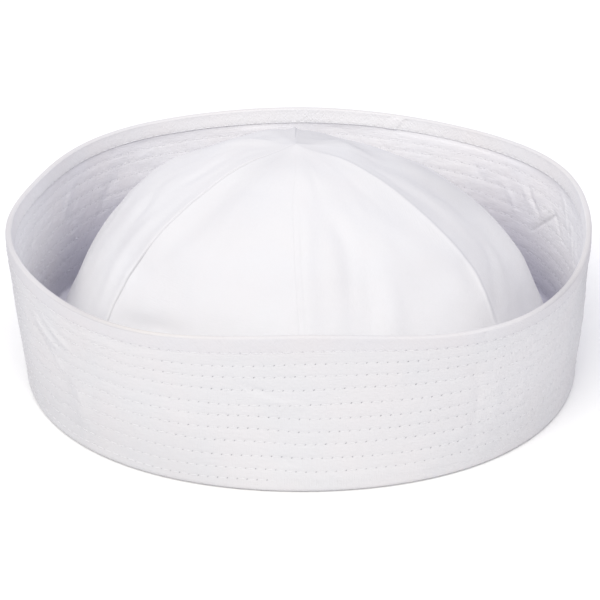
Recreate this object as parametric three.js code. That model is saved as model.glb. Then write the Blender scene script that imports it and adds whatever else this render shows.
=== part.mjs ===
// A white cotton sailor cap: a crown of six sewn gores in a stiff, row-stitched cuff, turned up all round.
// A bias binding closes the cuff's top edge. The cap rests on the fold where the cuff leaves the crown.
// Millimetres, +Z up, the front seam at -Y, the origin on the floor at the middle of the cap.
// Azimuths run from the front (-Y) towards +X.
import * as THREE from "three";

// Driving sizes
const HEAD_CIRCUMFERENCE = 590;
const CLOTH = 1.2;
const CROWN_HEIGHT = 83.5;
const GORES = 6;
const SEAM_GAP = 0.3;
const TIP_RADIUS = 0.6;
const TIP_LEAN = -1.9;

const CUFF_THICKNESS = 2.6;
const CUFF_HEIGHT = 57.0;
const CUFF_CORE = 1.0;
const RIM_RADIUS = 104.3;
const RIM_LEAN = -0.5;
const FOLD_WIDTH = 4.6;
const FOLD_HEIGHT = 4.5;
const FOLD_ROUND = 1.2;

const BINDING_WIDTH = 6.4;
const BINDING_CLOTH = 1.0;
const FIT_GAP = 0.3;

// How fine the facets are
const RING_SEGMENTS = 96;
const GORE_COLUMNS = 10;
const GORE_ROWS = 16;

const headRadius = HEAD_CIRCUMFERENCE / (2 * Math.PI);
const crownRadius = headRadius + CLOTH;
const foldInner = crownRadius + FIT_GAP;
const foldRadius = foldInner + FOLD_WIDTH;
const goreAngle = (2 * Math.PI) / GORES;

// How far each level's plan leaves a circle, as shares of its radius.
// Oval narrows it from front to back, square fills its corners.
const FOLD_PLAN = { oval: -0.0036, square: -0.0094 };
const RIM_PLAN = { oval: -0.0194, square: -0.0227 };

// The crown's outer profile, as shares of CROWN_HEIGHT and of the crown's radius at its base.
const CROWN_PROFILE = [
  { height: 0.0, radius: 1.0 },
  { height: 0.06, radius: 0.982 },
  { height: 0.15, radius: 0.935 },
  { height: 0.3, radius: 0.865 },
  { height: 0.45, radius: 0.803 },
  { height: 0.6, radius: 0.707 },
  { height: 0.73, radius: 0.59 },
  { height: 0.84, radius: 0.447 },
  { height: 0.92, radius: 0.312 },
  { height: 0.975, radius: 0.182 },
  { height: 1.0, radius: 0.0 },
];

// How far each seam stands out as a ridge, as a share of the radius there. The first is the front seam.
const SEAM_RIDGES = [0.012, 0.05, 0.045, 0.03, 0.045, 0.05];

// The crown's soft hollows (negative) and bulges, as shares of CROWN_HEIGHT, at five heights above the fold.
const FORM_HEIGHTS = { low: 0.22, waist: 0.42, middle: 0.62, upper: 0.8, top: 0.93 };
const CROWN_FORM = [
  { azimuth: 0, low: -0.001, waist: -0.004, middle: -0.002, upper: -0.001, top: 0 },
  { azimuth: 30, low: -0.001, waist: -0.005, middle: 0, upper: 0.001, top: 0 },
  { azimuth: 60, low: -0.002, waist: -0.018, middle: 0.002, upper: 0.005, top: -0.001 },
  { azimuth: 90, low: 0.002, waist: 0.001, middle: -0.005, upper: -0.006, top: -0.006 },
  { azimuth: 120, low: 0.001, waist: 0.002, middle: -0.021, upper: -0.024, top: -0.021 },
  { azimuth: 150, low: 0, waist: -0.001, middle: -0.009, upper: -0.028, top: -0.031 },
  { azimuth: 180, low: 0, waist: 0, middle: -0.001, upper: -0.002, top: -0.002 },
  { azimuth: 210, low: -0.002, waist: -0.001, middle: 0.004, upper: 0.016, top: 0.025 },
  { azimuth: 240, low: -0.007, waist: -0.004, middle: 0.009, upper: 0.026, top: 0.014 },
  { azimuth: 270, low: -0.012, waist: -0.016, middle: -0.004, upper: 0.005, top: 0.005 },
  { azimuth: 300, low: -0.009, waist: -0.043, middle: -0.021, upper: -0.007, top: 0.002 },
  { azimuth: 330, low: -0.003, waist: -0.012, middle: -0.007, upper: -0.002, top: 0 },
];

// Where the cuff wall stands out of its plan, or in (negative), as shares of RIM_RADIUS at the rim.
const CUFF_FORM = [
  { azimuth: -114, spread: 24, reach: -0.026 },
  { azimuth: 98, spread: 14, reach: -0.007 },
  { azimuth: 40, spread: 22, reach: 0.004 },
  { azimuth: -84, spread: 16, reach: 0.005 },
];

// The rim's waves: cosine and sine parts, outwards and upwards, of each number of waves in a turn.
const RIM_WAVES = [
  { count: 1, out: [-0.2, 0.43], up: [-0.36, -0.58] },
  { count: 2, out: [-0.09, 0.22], up: [-0.32, -0.07] },
  { count: 3, out: [0.09, -0.06], up: [0.28, 0.11] },
  { count: 4, out: [-0.13, 0.31], up: [1.27, 0.19] },
  { count: 5, out: [0.14, -0.16], up: [0.3, -0.09] },
  { count: 6, out: [-0.09, -0.69], up: [0.36, -0.06] },
];

const cotton = (name, color) => {
  const material = new THREE.MeshStandardMaterial({ color, roughness: 0.9, metalness: 0 });
  material.name = name;
  return material;
};
const crownCotton = cotton("crown cotton", 0xf3f2f5);
const cuffCotton = cotton("stitched cuff cotton", 0xececef);
const bindingCotton = cotton("binding cotton", 0xf0eff1);

const degrees = THREE.MathUtils.degToRad;
const mix = THREE.MathUtils.lerp;

// The shortest turn from one azimuth to another, in radians.
function turnBetween(azimuth, from) {
  const turn = azimuth - from;
  return Math.atan2(Math.sin(turn), Math.cos(turn));
}

// The plan's radius at an azimuth as a share of its mean radius, from the fold (0) to the rim (1).
function planShare(azimuth, level) {
  const oval = mix(FOLD_PLAN.oval, RIM_PLAN.oval, level);
  const square = mix(FOLD_PLAN.square, RIM_PLAN.square, level);
  return 1 + oval * Math.cos(2 * azimuth) + square * Math.cos(4 * azimuth);
}

// A smooth curve through a table's rows, read at any height between the first row and the last.
function readProfile(table, height) {
  const last = table.length - 2;
  let row = 0;
  while (row < last && table[row + 1].height < height) row += 1;
  const from = table[row];
  const to = table[row + 1];
  const slopeAt = (index) => {
    const low = table[Math.max(index - 1, 0)];
    const high = table[Math.min(index + 1, table.length - 1)];
    return (high.radius - low.radius) / (high.height - low.height);
  };
  const span = to.height - from.height;
  const t = (height - from.height) / span;
  const start = slopeAt(row) * span;
  const end = slopeAt(row + 1) * span;
  const cubic = t * t * (3 - 2 * t);
  return from.radius + (to.radius - from.radius) * cubic + start * t * (1 - t) ** 2 - end * t * t * (1 - t);
}

// 0 where the crown is held round by the fold, 1 where its cloth stands free.
function freedom(height) {
  const held = (FOLD_HEIGHT + 0.5) / CROWN_HEIGHT;
  return THREE.MathUtils.smoothstep(height, held, held + 0.2);
}

// The ridges that the seams raise, strongest half way up.
function ridgeShare(azimuth, height) {
  const rise = Math.sin(Math.PI * Math.min(1, 0.15 + 0.6 * height));
  return SEAM_RIDGES.reduce((sum, ridge, index) => {
    const away = Math.abs(turnBetween(azimuth, index * goreAngle)) / goreAngle;
    return sum + ridge * rise * Math.max(0, 1 - away) ** 2;
  }, 0);
}

// A row's or a column's hold on a place: 1 there, fading smoothly to 0 at its neighbours.
function hold(away, reach) {
  return away < reach ? Math.cos((away / reach) * (Math.PI / 2)) ** 2 : 0;
}

// The form table, read smoothly at any place.
function formDepth(azimuth, height) {
  const levels = Object.entries(FORM_HEIGHTS);
  const spacing = (2 * Math.PI) / CROWN_FORM.length;
  return CROWN_FORM.reduce((sum, row) => {
    const across = hold(Math.abs(turnBetween(azimuth, degrees(row.azimuth))), spacing);
    if (across === 0) return sum;
    const depth = levels.reduce((total, [name, level], index) => {
      const below = index > 0 ? levels[index - 1][1] : FOLD_HEIGHT / CROWN_HEIGHT;
      const above = index < levels.length - 1 ? levels[index + 1][1] : 1;
      const reach = height < level ? level - below : above - level;
      return total + row[name] * hold(Math.abs(height - level), reach);
    }, 0);
    return sum + across * depth * CROWN_HEIGHT;
  }, 0);
}

// The crown's outer radius. Height is a share of CROWN_HEIGHT.
function crownReach(azimuth, height) {
  const free = freedom(height);
  const plan = mix(planShare(azimuth, 0), 1, free);
  const round = crownRadius * readProfile(CROWN_PROFILE, height) * plan;
  const shape = round * ridgeShare(azimuth, height) + formDepth(azimuth, height);
  return Math.max(TIP_RADIUS, round + shape * free);
}

// A point of the crown's outer surface, whose tip leans a little to one side.
function crownPoint(azimuth, height) {
  const reach = crownReach(azimuth, height);
  const x = reach * Math.sin(azimuth) + TIP_LEAN * height * height;
  return new THREE.Vector3(x, -reach * Math.cos(azimuth), height * CROWN_HEIGHT);
}

function crownNormal(azimuth, height) {
  const step = 0.004;
  const side = crownPoint(azimuth + step, height).sub(crownPoint(azimuth - step, height));
  const low = Math.max(0, height - step);
  const high = Math.min(0.998, height + step);
  const up = crownPoint(azimuth, high).sub(crownPoint(azimuth, low));
  return side.cross(up).normalize();
}

// One sewn panel: a box whose width runs across the gore, whose height runs from the fold to the tip
// and whose depth is the cloth.
function makeGore(index) {
  const geometry = new THREE.BoxGeometry(1, 1, 1, GORE_COLUMNS, GORE_ROWS, 1);
  const place = geometry.getAttribute("position");
  for (let i = 0; i < place.count; i += 1) {
    const across = place.getX(i) + 0.5;
    const along = place.getY(i) + 0.5;
    const height = Math.sin((along * Math.PI) / 2) ** 1.15;
    const trim = Math.asin(SEAM_GAP / 2 / crownReach(index * goreAngle, height));
    const azimuth = mix(index * goreAngle + trim, (index + 1) * goreAngle - trim, across);
    const point = crownPoint(azimuth, height);
    const inner = place.getZ(i) < 0;
    if (inner) point.addScaledVector(crownNormal(azimuth, height), -CLOTH);
    if (along === 0) point.z = 0;
    place.setXYZ(i, point.x, point.y, point.z);
  }
  return geometry;
}

// The cuff's outer face leans out from the fold to the rim.
function cuffOuter(height) {
  return mix(foldRadius, RIM_RADIUS, height / CUFF_HEIGHT);
}

function cuffForm(azimuth) {
  return CUFF_FORM.reduce((sum, row) => {
    const away = turnBetween(azimuth, degrees(row.azimuth)) / degrees(row.spread);
    return sum + row.reach * Math.exp(-away * away);
  }, 0);
}

function rimWave(azimuth, way) {
  return RIM_WAVES.reduce((sum, row) => {
    const [even, odd] = row[way];
    return sum + even * Math.cos(row.count * azimuth) + odd * Math.sin(row.count * azimuth);
  }, 0);
}

// A ring turned from a closed outline of [radius, height] points, then bent to the cap's plan and rim.
function makeRing(outline) {
  const closed = [...outline, outline[0]].map(([radius, height]) => new THREE.Vector2(radius, height));
  const geometry = new THREE.LatheGeometry(closed, RING_SEGMENTS).rotateX(Math.PI / 2);
  const place = geometry.getAttribute("position");
  for (let i = 0; i < place.count; i += 1) {
    const height = place.getZ(i);
    const level = Math.max(0, (height - FOLD_HEIGHT) / (CUFF_HEIGHT - FOLD_HEIGHT));
    const azimuth = Math.atan2(place.getX(i), -place.getY(i));
    const out = cuffForm(azimuth) + rimWave(azimuth, "out") / RIM_RADIUS;
    const plan = planShare(azimuth, level) + out * level;
    const radius = Math.hypot(place.getX(i), place.getY(i)) * plan;
    const lift = rimWave(azimuth, "up") * level * level;
    const x = radius * Math.sin(azimuth) + RIM_LEAN * level;
    place.setXYZ(i, x, -radius * Math.cos(azimuth), height + lift);
  }
  return geometry;
}

// The cuff's section: a flat foot at the fold, the outer face, a thin core for the binding, the inner face.
function makeCuff() {
  const shoulder = CUFF_HEIGHT - BINDING_WIDTH - FIT_GAP;
  const coreTop = CUFF_HEIGHT - BINDING_CLOTH - FIT_GAP;
  const inset = (CUFF_THICKNESS - CUFF_CORE) / 2;
  const valley = FOLD_HEIGHT + 1.5;
  const crownBeside = crownRadius * readProfile(CROWN_PROFILE, FOLD_HEIGHT / CROWN_HEIGHT) + FIT_GAP;
  return makeRing([
    [foldInner, 0],
    [foldRadius - FOLD_ROUND, 0],
    [foldRadius - FOLD_ROUND * 0.3, FOLD_ROUND * 0.3],
    [cuffOuter(FOLD_ROUND), FOLD_ROUND],
    [cuffOuter(CUFF_HEIGHT / 3), CUFF_HEIGHT / 3],
    [cuffOuter((CUFF_HEIGHT * 2) / 3), (CUFF_HEIGHT * 2) / 3],
    [cuffOuter(shoulder), shoulder],
    [cuffOuter(shoulder) - inset, shoulder],
    [cuffOuter(coreTop) - inset, coreTop],
    [cuffOuter(coreTop) - inset - CUFF_CORE, coreTop],
    [cuffOuter(shoulder) - inset - CUFF_CORE, shoulder],
    [cuffOuter(shoulder) - CUFF_THICKNESS, shoulder],
    [cuffOuter((CUFF_HEIGHT * 2) / 3) - CUFF_THICKNESS, (CUFF_HEIGHT * 2) / 3],
    [cuffOuter(CUFF_HEIGHT / 3) - CUFF_THICKNESS, CUFF_HEIGHT / 3],
    [cuffOuter(valley) - CUFF_THICKNESS, valley],
    [crownBeside, FOLD_HEIGHT],
  ]);
}

// The binding's section: a folded tape that straddles the cuff's core.
function makeBinding() {
  const low = CUFF_HEIGHT - BINDING_WIDTH;
  const coreTop = CUFF_HEIGHT - BINDING_CLOTH - FIT_GAP;
  const seat = coreTop + FIT_GAP;
  const coreOut = (height) => cuffOuter(height) - (CUFF_THICKNESS - CUFF_CORE) / 2 + FIT_GAP;
  const coreIn = (height) => coreOut(height) - CUFF_CORE - 2 * FIT_GAP;
  return makeRing([
    [coreOut(low), low],
    [coreOut(low) + BINDING_CLOTH, low],
    [coreOut(seat) + BINDING_CLOTH, seat - BINDING_CLOTH * 0.5],
    [coreOut(seat) + BINDING_CLOTH * 0.4, CUFF_HEIGHT],
    [coreIn(seat) - BINDING_CLOTH * 0.4, CUFF_HEIGHT],
    [coreIn(seat) - BINDING_CLOTH, seat - BINDING_CLOTH * 0.5],
    [coreIn(low) - BINDING_CLOTH, low],
    [coreIn(low), low],
    [coreIn(seat), seat],
    [coreOut(seat), seat],
  ]);
}

function addPiece(group, name, geometry, material) {
  const mesh = new THREE.Mesh(geometry, material);
  mesh.name = name;
  group.add(mesh);
}

const cap = new THREE.Group();
const goreNames = ["front_right", "side_right", "back_right", "back_left", "side_left", "front_left"];
goreNames.forEach((name, index) => addPiece(cap, `crown_gore_${name}`, makeGore(index), crownCotton));
addPiece(cap, "cuff", makeCuff(), cuffCotton);
addPiece(cap, "rim_binding", makeBinding(), bindingCotton);

export default cap;
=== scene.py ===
"""Looks of a white cotton sailor cap: six sewn crown gores inside a row-stitched cuff, turned up all round.

Lengths are in millimetres until they reach a mesh, and places in the studio are in metres.
Azimuths run from the front (-Y) towards +X.
"""

import math

import bpy
import numpy as np
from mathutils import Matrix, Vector


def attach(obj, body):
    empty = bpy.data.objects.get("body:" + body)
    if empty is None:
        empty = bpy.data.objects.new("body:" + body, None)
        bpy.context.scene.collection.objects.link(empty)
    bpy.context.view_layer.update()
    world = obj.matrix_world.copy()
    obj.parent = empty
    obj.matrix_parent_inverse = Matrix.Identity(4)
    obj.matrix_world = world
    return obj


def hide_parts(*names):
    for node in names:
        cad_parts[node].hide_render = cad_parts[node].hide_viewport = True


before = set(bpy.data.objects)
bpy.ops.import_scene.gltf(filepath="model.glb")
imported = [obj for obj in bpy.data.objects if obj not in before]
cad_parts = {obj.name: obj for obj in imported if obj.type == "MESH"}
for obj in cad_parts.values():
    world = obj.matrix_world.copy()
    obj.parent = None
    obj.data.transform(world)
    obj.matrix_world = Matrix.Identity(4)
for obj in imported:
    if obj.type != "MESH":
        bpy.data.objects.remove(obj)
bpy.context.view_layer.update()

MM = 0.001
TURN = 2 * math.pi
NOISE_ROWS = 97

# The cap's own sizes, as in the CAD.
HEAD_RADIUS = 590 / TURN
CLOTH = 1.2
CROWN_HEIGHT = 83.5
CROWN_RADIUS = HEAD_RADIUS + CLOTH
TIP_LEAN = -1.9
CUFF_HEIGHT = 57.0
CUFF_THICKNESS = 2.6
RIM_RADIUS = 104.3
RIM_LEAN = -0.5
FIT_GAP = 0.3
FOLD_HEIGHT = 4.5
FOLD_INNER = CROWN_RADIUS + FIT_GAP
FOLD_RADIUS = FOLD_INNER + 4.6
BINDING_LOW = CUFF_HEIGHT - 6.4
GORES = 6
GORE_ANGLE = TURN / GORES

# Rows of stitching round the cuff, from the rim to the fold. A stitch has its grid's columns at these shares
# of its length, and the lines from one row to the next lie at these shares of their distance.
ROW_HEIGHTS = [51.6, 47.1, 43.0, 38.3, 33.0, 27.8, 23.2, 18.4, 13.1, 8.2, 3.9]
STITCHES = 186
COLUMN_PLACES = np.array([0, 0.105, 0.36, 0.64, 0.895])
LINE_PLACES = [0, 0.07, 0.18, 0.34, 0.5, 0.66, 0.82, 0.93]

# The crown's profile, the ridge at each seam, and its dents at every 30 degrees and at five heights.
PROFILE_HEIGHTS = [0.0, 0.06, 0.15, 0.3, 0.45, 0.6, 0.73, 0.84, 0.92, 0.975, 1.0]
PROFILE_RADII = [1.0, 0.982, 0.935, 0.865, 0.803, 0.707, 0.59, 0.447, 0.312, 0.182, 0.0]
SEAM_RIDGES = [0.012, 0.05, 0.045, 0.03, 0.045, 0.05]
FORM_HEIGHTS = [0.22, 0.42, 0.62, 0.8, 0.93]
CROWN_FORM = [
    (-0.001, -0.004, -0.002, -0.001, 0),
    (-0.001, -0.005, 0, 0.001, 0),
    (-0.002, -0.018, 0.002, 0.005, -0.001),
    (0.002, 0.001, -0.005, -0.006, -0.006),
    (0.001, 0.002, -0.021, -0.024, -0.021),
    (0, -0.001, -0.009, -0.028, -0.031),
    (0, 0, -0.001, -0.002, -0.002),
    (-0.002, -0.001, 0.004, 0.016, 0.025),
    (-0.007, -0.004, 0.009, 0.026, 0.014),
    (-0.012, -0.016, -0.004, 0.005, 0.005),
    (-0.009, -0.043, -0.021, -0.007, 0.002),
    (-0.003, -0.012, -0.007, -0.002, 0),
]

# The cuff's dents: azimuth and spread in degrees, and depth as a share of the radius.
CUFF_FORM = [(-114, 24, -0.026), (98, 14, -0.007), (40, 22, 0.004), (-84, 16, 0.005)]

# The rim's waves: waves in a turn, then cosine and sine parts outwards and upwards.
RIM_WAVES = [
    (1, (-0.2, 0.43), (-0.36, -0.58)),
    (2, (-0.09, 0.22), (-0.32, -0.07)),
    (3, (0.09, -0.06), (0.28, 0.11)),
    (4, (-0.13, 0.31), (1.27, 0.19)),
    (5, (0.14, -0.16), (0.3, -0.09)),
    (6, (-0.09, -0.69), (0.36, -0.06)),
]


def wrap(angle):
    return np.arctan2(np.sin(angle), np.cos(angle))


def smoothstep(value, low, high):
    t = np.clip((value - low) / (high - low), 0, 1)
    return t * t * (3 - 2 * t)


def fade(value, low, high):
    return 1 - smoothstep(value, low, high)


def hump(value, middle, spread):
    """A soft bump: 1 at its middle, about a third one spread away."""
    return np.exp(-(((value - middle) / spread) ** 2))


def mix(low, high, t):
    return low + (high - low) * t


def noise(x, y, seed, around=64):
    """Smooth noise from -1 to 1 on a lattice of whole numbers, which repeats after `around` cells of x."""
    table = np.random.default_rng(seed).uniform(-1, 1, (around, NOISE_ROWS))
    column, row = np.floor(x).astype(int), np.floor(y).astype(int)
    fx, fy = x - column, y - row
    fx, fy = fx * fx * (3 - 2 * fx), fy * fy * (3 - 2 * fy)
    left, right = column % around, (column + 1) % around
    low, high = row % NOISE_ROWS, (row + 1) % NOISE_ROWS
    lower = mix(table[left, low], table[right, low], fx)
    upper = mix(table[left, high], table[right, high], fx)
    return mix(lower, upper, fy)


def ring_noise(azimuth, height, cell, tall, seed):
    """Noise on the cuff, whose cells are about `cell` wide and `tall` high, closed round the ring."""
    around = max(3, round(TURN * RIM_RADIUS / cell))
    return noise(azimuth / TURN * around, height / tall + 40, seed, around)


def plan_share(azimuth, level):
    """The plan's radius as a share of a circle's: a little wider and squarer towards the rim."""
    oval = mix(-0.0036, -0.0194, level)
    square = mix(-0.0094, -0.0227, level)
    return 1 + oval * np.cos(2 * azimuth) + square * np.cos(4 * azimuth)


def crown_profile(height):
    """The crown's radius, as a share of its foot's: a smooth curve through the profile's rows."""
    rows, levels = np.array(PROFILE_RADII), np.array(PROFILE_HEIGHTS)
    count = len(rows)
    low, high = np.maximum(np.arange(count) - 1, 0), np.minimum(np.arange(count) + 1, count - 1)
    slopes = (rows[high] - rows[low]) / (levels[high] - levels[low])
    k = np.clip(np.searchsorted(levels, height, side="left") - 1, 0, count - 2)
    span = levels[k + 1] - levels[k]
    t = (height - levels[k]) / span
    curve = rows[k] + (rows[k + 1] - rows[k]) * t * t * (3 - 2 * t)
    return curve + slopes[k] * span * t * (1 - t) ** 2 - slopes[k + 1] * span * t * t * (1 - t)


def hold(away, reach):
    """1 at a dent's own place, falling to 0 at its reach."""
    return np.where(away < reach, np.cos(np.clip(away / reach, 0, 1) * math.pi / 2) ** 2, 0)


def crown_reach(azimuth, height):
    """How far the crown's surface lies from its axis: its profile, the seams' ridges and the dents."""
    held = (FOLD_HEIGHT + 0.5) / CROWN_HEIGHT
    free = smoothstep(height, held, held + 0.2)
    ridge = 0
    for index, share in enumerate(SEAM_RIDGES):
        away = np.abs(wrap(azimuth - index * GORE_ANGLE)) / GORE_ANGLE
        ridge = ridge + share * np.maximum(0, 1 - away) ** 2
    ridge = ridge * np.sin(math.pi * np.minimum(1, 0.15 + 0.6 * height))
    stations = [FOLD_HEIGHT / CROWN_HEIGHT, *FORM_HEIGHTS, 1.0]
    form = 0
    for row, depths in enumerate(CROWN_FORM):
        across = hold(np.abs(wrap(azimuth - math.radians(30 * row))), math.radians(30))
        for level, depth in enumerate(depths):
            below, here, above = stations[level : level + 3]
            reach = np.where(height < here, here - below, above - here)
            form = form + across * depth * hold(np.abs(height - here), reach)
    round_part = CROWN_RADIUS * crown_profile(height) * mix(plan_share(azimuth, 0), 1, free)
    return np.maximum(0.05, round_part + (round_part * ridge + form * CROWN_HEIGHT) * free)


def crown_point(azimuth, height):
    reach = crown_reach(azimuth, height)
    x = reach * np.sin(azimuth) + TIP_LEAN * height * height
    return np.stack([x, -reach * np.cos(azimuth), height * CROWN_HEIGHT + 0 * reach], -1)


def crown_normal(azimuth, height):
    step = 0.006
    low, high = np.maximum(height - step, 0), np.minimum(height + step, 0.997)
    low = np.minimum(low, high - step)
    side = crown_point(azimuth + step, height) - crown_point(azimuth - step, height)
    up = crown_point(azimuth, high) - crown_point(azimuth, low)
    normal = np.cross(side, up)
    return normal / np.linalg.norm(normal, axis=-1, keepdims=True)


def cuff_outer(height):
    return mix(FOLD_RADIUS, RIM_RADIUS, height / CUFF_HEIGHT)


def cuff_point(azimuth, radius, height):
    """A point of the cuff, from its radius and height before plan, dents and rim waves bend it."""
    level = np.clip((height - FOLD_HEIGHT) / (CUFF_HEIGHT - FOLD_HEIGHT), 0, None)
    form = 0
    for place, spread, reach in CUFF_FORM:
        away = wrap(azimuth - math.radians(place)) / math.radians(spread)
        form = form + reach * np.exp(-away * away)
    rise = 0
    for count, out, up in RIM_WAVES:
        even, odd = np.cos(count * azimuth), np.sin(count * azimuth)
        form = form + (out[0] * even + out[1] * odd) / RIM_RADIUS
        rise = rise + up[0] * even + up[1] * odd
    bent = radius * (plan_share(azimuth, level) + form * level)
    x = bent * np.sin(azimuth) + RIM_LEAN * level
    return np.stack([x, -bent * np.cos(azimuth), height + rise * level * level], -1)


def crease(points, path, width, depth):
    """How far a crease along a path raises (or sinks) each point: full along its middle, gone at its ends."""
    near = np.full(points.shape[:-1], 1e9)
    along = np.zeros(points.shape[:-1])
    count = len(path) - 1
    for index in range(count):
        start, way = path[index], path[index + 1] - path[index]
        t = np.clip(((points - start) @ way) / (way @ way), 0, 1)
        away = np.linalg.norm(points - (start + t[..., None] * way), axis=-1)
        closer = away < near
        near = np.where(closer, away, near)
        along = np.where(closer, (index + t) / count, along)
    return depth * hump(near, 0, width) * np.sin(math.pi * np.clip(along, 0.02, 0.98)) ** 0.6


def paint(mesh, mark, values):
    attribute = mesh.attributes.new(mark, "FLOAT", "POINT")
    attribute.data.foreach_set("value", values.astype(np.float32).ravel())


def show(name, mesh):
    mesh.validate()
    piece = bpy.data.objects.new(name, mesh)
    bpy.context.scene.collection.objects.link(piece)
    return piece


def grid_mesh(name, points, uv, wrap_rows, wrap_columns, caps=False, **marks):
    """A closed mesh from a grid of points. Caps close a tube whose sections pair outer and inner points."""
    rows, columns = points.shape[:2]
    lines_down = np.arange(rows if wrap_rows else rows - 1)
    lines_across = np.arange(columns if wrap_columns else columns - 1)
    r, c = np.meshgrid(lines_down, lines_across, indexing="ij")
    rr = np.stack([r, r, r + 1, r + 1], -1).reshape(-1, 4)
    cc = np.stack([c, c + 1, c + 1, c], -1).reshape(-1, 4)
    faces = (rr % rows) * columns + cc % columns
    loop_uv = uv[rr, cc]
    if caps:
        half = columns // 2
        k = np.arange(half - 1)
        for row, flip in ((0, False), (rows - 1, True)):
            quad = np.stack([k + 1, k, columns - 1 - k, columns - 2 - k], -1)
            quad = quad[:, ::-1] if flip else quad
            faces = np.concatenate([faces, row * columns + quad])
            loop_uv = np.concatenate([loop_uv, uv[row, quad]])
    flat = points.reshape(-1, 3) * MM
    a, b, c_, d = (flat[faces[:, i]] for i in range(4))
    volume = np.einsum("ij,ij->i", a, np.cross(b, c_) + np.cross(c_, d)).sum()
    if volume < 0:
        faces, loop_uv = faces[:, ::-1], loop_uv[:, ::-1]
    mesh = bpy.data.meshes.new(name)
    mesh.vertices.add(len(flat))
    mesh.vertices.foreach_set("co", flat.astype(np.float32).ravel())
    mesh.loops.add(faces.size)
    mesh.loops.foreach_set("vertex_index", faces.astype(np.int32).ravel())
    mesh.polygons.add(len(faces))
    mesh.polygons.foreach_set("loop_start", np.arange(0, faces.size, 4, dtype=np.int32))
    mesh.update(calc_edges=True)
    mesh.polygons.foreach_set("use_smooth", np.ones(len(faces), bool))
    layer = mesh.uv_layers.new(name="cloth")
    layer.data.foreach_set("uv", (loop_uv.reshape(-1, 2) * MM).astype(np.float32).ravel())
    for mark, values in marks.items():
        paint(mesh, mark, values)
    return show(name, mesh)


def socket(node, name, value):
    node.inputs[name].default_value = value


# Painted marks, laid over a cloth's colour in this order: painted shade in needle holes, along seams, creases
# and edges and in hollows; the tape's cream; painted blue shade deep inside the cuff; and painted light.
MARKS = {
    "hole_and_shade": (0.19, 0.185, 0.215, 1),
    "cream": (0.84, 0.79, 0.72, 1),
    "deep": (0.125, 0.12, 0.3, 1),
    "painted_light": (0.93, 0.93, 0.94, 1),
}


def cotton(name, colour, warm, thread, weave_bump, fuzz_bump, least=0.6):
    """Woven cotton with painted marks. `least` is its bump's strength where it isn't marked as coarse."""
    material = bpy.data.materials.new(name)
    material.use_nodes = True
    nodes, links = material.node_tree.nodes, material.node_tree.links
    shader = nodes["Principled BSDF"]
    socket(shader, "Roughness", 0.88)
    socket(shader, "Specular IOR Level", 0.18)
    socket(shader, "Sheen Weight", 0.1)
    socket(shader, "Sheen Roughness", 0.5)
    place = nodes.new("ShaderNodeTexCoord")

    def grain(source, scale, detail):
        stretch = nodes.new("ShaderNodeMapping")
        socket(stretch, "Scale", scale)
        links.new(place.outputs[source], stretch.inputs["Vector"])
        texture = nodes.new("ShaderNodeTexNoise")
        socket(texture, "Scale", 1.0)
        socket(texture, "Detail", detail)
        links.new(stretch.outputs["Vector"], texture.inputs["Vector"])
        return texture.outputs["Fac"]

    fine, long = 1 / (thread * MM), 1 / (9 * thread * MM)
    weave = nodes.new("ShaderNodeMath")
    weave.operation = "ADD"
    links.new(grain("UV", (fine, long, 1), 1.0), weave.inputs[0])
    links.new(grain("UV", (long, fine, 1), 1.0), weave.inputs[1])
    cloud = grain("Object", (55, 55, 55), 4.0)
    fuzz = grain("Object", (1100, 1100, 1100), 3.0)
    tint = nodes.new("ShaderNodeMix")
    tint.data_type = "RGBA"
    ramp = nodes.new("ShaderNodeMapRange")
    socket(ramp, "From Min", 0.35)
    socket(ramp, "From Max", 0.65)
    links.new(cloud, ramp.inputs["Value"])
    links.new(ramp.outputs["Result"], tint.inputs["Factor"])
    tint.inputs["A"].default_value = (*colour, 1)
    tint.inputs["B"].default_value = (*warm, 1)
    shade = tint.outputs["Result"]
    for mark, mark_colour in MARKS.items():
        marked = nodes.new("ShaderNodeAttribute")
        marked.attribute_name = mark
        mixed = nodes.new("ShaderNodeMix")
        mixed.data_type = "RGBA"
        links.new(marked.outputs["Fac"], mixed.inputs["Factor"])
        links.new(shade, mixed.inputs["A"])
        mixed.inputs["B"].default_value = mark_colour
        shade = mixed.outputs["Result"]
    links.new(shade, shader.inputs["Base Color"])
    coarse = nodes.new("ShaderNodeAttribute")
    coarse.attribute_name = "coarse"
    rough = nodes.new("ShaderNodeMapRange")
    socket(rough, "To Min", least)
    links.new(coarse.outputs["Fac"], rough.inputs["Value"])
    normal = None
    for height, depth in ((weave.outputs["Value"], weave_bump), (fuzz, fuzz_bump)):
        bump = nodes.new("ShaderNodeBump")
        socket(bump, "Distance", depth * MM)
        links.new(height, bump.inputs["Height"])
        links.new(rough.outputs["Result"], bump.inputs["Strength"])
        if normal:
            links.new(normal, bump.inputs["Normal"])
        normal = bump.outputs["Normal"]
    links.new(normal, shader.inputs["Normal"])
    return material


def dress(piece, material, slot, *nodes):
    piece.data.materials.append(material)
    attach(piece, "root")
    if nodes:
        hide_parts(*nodes)
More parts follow.
